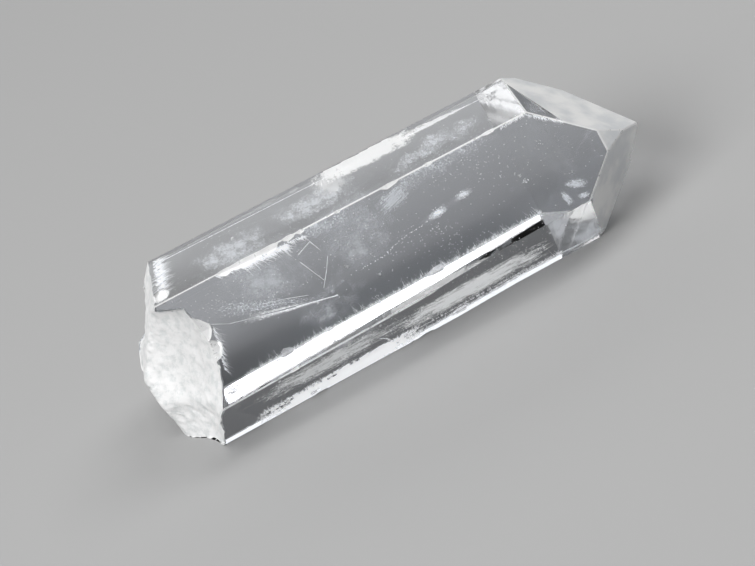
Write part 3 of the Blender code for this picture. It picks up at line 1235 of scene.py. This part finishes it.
VEILS = (
    Sheet("veil_top_left", CLOUD, (180, 278), (280, 224), (222, 236), (3, 4, 7), 7.0, 0.49),
    Sheet("veil_top_middle", CLOUD, (258, 230), (366, 176), (318, 217), (3, 3, 7), 8.0, 0.50),
    Sheet("veil_top_right", CLOUD, (410, 162), (454, 126), (440, 155), (3, 4, 6), 4.0, 0.49),
    Sheet("veil_top_far", CLOUD, (384, 178), (430, 146), (413, 170), (3, 4, 6), 4.0, 0.46),
    Sheet("veil_top_end", CLOUD, (438, 146), (486, 112), (470, 139), (3, 4, 6), 4.0, 0.44),
    Sheet("veil_front_middle", DIM, (314, 274), (402, 200), (384, 276), (5, 8, 10), 5.0, 0.49),
    Sheet("veil_front_left", DIM, (284, 342), (376, 266), (352, 326), (6, 8, 11), 5.0, 0.47),
    Sheet("veil_front_grey", DIM, (198, 306), (326, 256), (288, 312), (5, 6, 8), 4.0, 0.51),
    Sheet("veil_low_left", LOW, (246, 408), (412, 316), (333, 370), (1, 1, 1.5), 10.0, 0.56),
    Sheet("veil_low_middle", LOW_PAINTED_GLOW, (386, 334), (556, 242), (475, 296), (1, 1, 1.5), 10.0, 0.63),
    Sheet("puff_near", PUFF, (428, 221), (447, 205), (441, 216), (5, 5, 5.3), 2.0, 0.68),
    Sheet("puff_far", PUFF, (453, 202), (473, 187), (466, 198), (5, 5, 5.3), 2.0, 0.62),
    Sheet("tip_wisp_upper", COMBED, (562, 186), (590, 181), (580, 189), (1.5,) * 3, 2.5, 0.5, wave=0.1),
    Sheet("tip_wisp_lower", COMBED, (560, 190), (574, 206), (572, 196), (1.5,) * 3, 2.5, 0.5, wave=0.1),
    Sheet("tip_patch", COMBED, (577, 198), (591, 192), (585, 199), (1.5,) * 3, 2.5, 0.5, wave=0.1),
    Sheet("feather_wedge", PLUME, (410, 182), (376, 216), (384, 190), (0.6, 3, 1.5), 2.0, 0.5, wave=0.2),
    Sheet("spear_crack", CRACK, (204, 313), (334, 296), (262, 292), (3, 5, 6), 3.0, 0.37, 0.04, 0.15),
    Sheet("spear_blade", BLADE, (238, 322), (346, 293), (282, 303.5), (4, 5, 4.6), 2.0, 0.62, 0.05, 0.05),
)

CRACKS = (
    CrackLines(
        "spear_edges",
        0.045,
        (
            ((163, 324, 2.2), (200, 325, 2.6), (230, 323.5, 3.4), (256, 317, 4.0)),
            ((256, 317, 4.0), (298, 307, 4.6), (336, 295, 5.0)),
            ((262, 304, 4.4), (286, 298.5, 4.7), (308, 295, 5.0)),
        ),
    ),
    CrackLines("spear_point", 0.1, (((338, 295, 5.0), (322, 299.5, 4.8), (296, 306.5, 4.5)),)),
    CrackLines(
        "window_edges",
        0.05,
        (
            ((298, 255, 3.0), (309.6, 241.5, 3.0), (320, 250, 3.0)),
            ((327.5, 256, 3.4), (326.5, 270, 3.4), (323.7, 288, 3.4)),
            ((300, 262, 3.2), (324, 280, 3.2)),
        ),
    ),
)

BRUISES = (
    Sheet("edge_bruise", BRUISE, (306, 184), (420, 130), (369, 168), UNDER_SKIN, 10.0, 0.66, 0.7, 0.05),
    Sheet("edge_smear", SMEAR, (392, 142), (480, 99), (440, 124), UNDER_SKIN, 12.0, 0.56, 0.2, 0.05),
    Sheet("edge_haze", HAZE, (306, 196), (356, 172), (338, 196), UNDER_SKIN, 3.0, 0.50, 1.0, 0.05),
    Sheet("foot_frost", CHALK, (254, 425), (428, 326), (339, 368), UNDER_SKIN, 26.0, 0.64, 1.0, 0.05, 36),
)


@dataclass(frozen=True)
class Inclusions:
    """All that lies inside the crystal, placed by where the photograph shows it."""

    sight: Sight
    effects: Effects

    def build(self) -> None:
        """Builds every group of marks in turn."""
        frost = Frost().material(self.effects)
        for veil in VEILS:
            veil.build(self.sight, self.effects)
        for crack in CRACKS:
            crack.build(self.sight, frost)
        for bruise in BRUISES:
            bruise.build(self.sight, self.effects)
        for mark in (*self.fringes(), BubbleTrail(), ScatteredSpecks()):
            mark.build(self.sight, frost)

    def fringes(self) -> list[Fringe]:
        """The rows of fine splinters along the edges.

        Returns:
            The rows, in the order in which they are built.
        """
        sight = self.sight
        skin = sight.skin_depth
        low = 0.12
        deep = 0.15
        band = [sight.onto(pixel, Face.LOWER_BACK, low) for pixel in ((246, 378), (543, 213.5))]
        foot = sight.line(low, (262, 416), (420, 328), (562, 252))
        crest = sight.line(skin, (160, 262), (482, 98))
        feathers = sight.line(deep, (152, 262), (159, 302))
        corner = sight.line(skin, (500, 127), (524, 113), (563, 121))
        hackles = sight.line(skin, (211, 324), (224, 370))
        ridge = sight.line(skin, (214, 276), (302, 235))
        tuft = sight.line(skin, (238, 267), (284, 245))
        up_back = sight.up(Face.LOWER_BACK)
        up_front = sight.up(Face.LOWER_FRONT)
        off_corner = sight.way((540, 118), (541, 126))
        off_break = sight.way((212, 330), (232, 345))
        down_ridge = (ALONG * 0.9 - sight.up(Face.UPPER_FRONT)).normalized()
        return [
            Fringe("band_fringe", *band, up_back, 1800, (0.1, 0.6), 0.05, 0.8, 0.3, 3),
            Fringe("band_spikes", *band, up_back, 300, (0.2, 1.1), 0.035, 0.6, 0.6, 6),
            Fringe("foot_fringe", *foot[:2], up_front, 500, (0.2, 1.1), 0.1, 0.5, 0.4, 4),
            Fringe("foot_fringe_far", *foot[1:], up_front, 300, (0.15, 0.7), 0.08, 0.5, 0.15, 8),
            Fringe("crest_line", *crest, ALONG, 420, (0.3, 1.2), 0.12, 0.06, 0.2, 9),
            Fringe("rim_feathers", *feathers, ALONG, 420, (0.2, 2.0), 0.09, 0.6, 1.1, 10),
            Fringe("corner_frost", *corner[1:], off_corner, 240, (0.05, 0.45), 0.06, 0.8, 0.2, 14),
            Fringe("corner_line", *corner[:2], off_corner, 160, (0.05, 0.4), 0.06, 0.8, 0.2, 15),
            Fringe("rim_hackles", *hackles, off_break, 150, (0.2, 1.6), 0.05, 0.5, 0.4, 13),
            Fringe("ridge_fringe", *ridge, down_ridge, 480, (0.1, 1.0), 0.09, 0.6, 0.4, 5),
            Fringe("ridge_tuft", *tuft, down_ridge, 200, (0.3, 1.6), 0.1, 0.5, 0.4, 12),
        ]


@dataclass(frozen=True)
class Softbox:
    """A soft rectangular light that faces the crystal. Its angles are in degrees."""

    name: str
    azimuth: float
    elevation: float
    distance: float
    width: float
    height: float
    radiance: float

    def place(self) -> None:
        """Adds the light, turned towards the crystal."""
        data = bpy.data.lights.new(self.name, "AREA")
        data.shape = "RECTANGLE"
        data.size = self.width
        data.size_y = self.height
        data.energy = self.radiance * math.pi * self.width * self.height
        turn = math.radians(self.azimuth)
        rise = math.radians(self.elevation)
        outward = Vector((math.sin(turn) * math.cos(rise), math.cos(turn) * math.cos(rise), math.sin(rise)))
        lamp = bpy.data.objects.new(self.name, data)
        lamp.location = outward * self.distance
        lamp.rotation_euler = outward.to_track_quat("Z", "Y").to_euler()
        bpy.context.scene.collection.objects.link(lamp)


@dataclass(frozen=True)
class Studio:
    """A plain pale floor and soft light."""

    floor_size: float = 3.0
    floor_gap: float = 0.02 * MM
    floor_grey: float = 0.33
    surround: float = 0.15
    lights: tuple[Softbox, ...] = (
        Softbox("overhead_light", 180.0, 86.0, 0.9, 0.60, 0.40, 4.2),
        Softbox("back_light", 0.0, 31.0, 0.9, 1.30, 0.24, 1.5),
        Softbox("key_light", -132.0, 40.0, 0.9, 0.55, 0.45, 9.0),
        Softbox("tip_light", 75.0, 50.0, 0.9, 0.40, 0.40, 6.0),
    )

    def build(self) -> None:
        """Makes the floor, the lights and the surroundings."""
        self.build_floor()
        for light in self.lights:
            light.place()
        world = bpy.data.worlds.new("surroundings")
        world.use_nodes = True
        background = world.node_tree.nodes["Background"]
        background.inputs["Color"].default_value = (self.surround,) * 3 + (1.0,)
        bpy.context.scene.world = world
        bpy.context.scene.view_settings.view_transform = "Standard"

    def build_floor(self) -> None:
        """Makes the floor just under the crystal."""
        deselect_all()
        bpy.ops.mesh.primitive_plane_add(size=self.floor_size, location=(0, 0, -self.floor_gap))
        floor = bpy.context.object
        floor.name = "floor"
        material, _, _ = new_material("pale_floor", (self.floor_grey,) * 3, Roughness=0.9)
        floor.data.materials.append(material)


def main() -> None:
    """Builds the crystal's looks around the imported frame."""
    logging.basicConfig(level=logging.INFO, format="%(message)s")
    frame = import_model()
    view = Viewpoint()
    view.place()
    Studio().build()
    effects = Effects()
    body = CrystalBody().build(frame["nodes"][NODE], effects, view)
    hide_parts(NODE)
    Inclusions(Sight(view, body), effects).build()


if __name__ == "__main__":
    main()
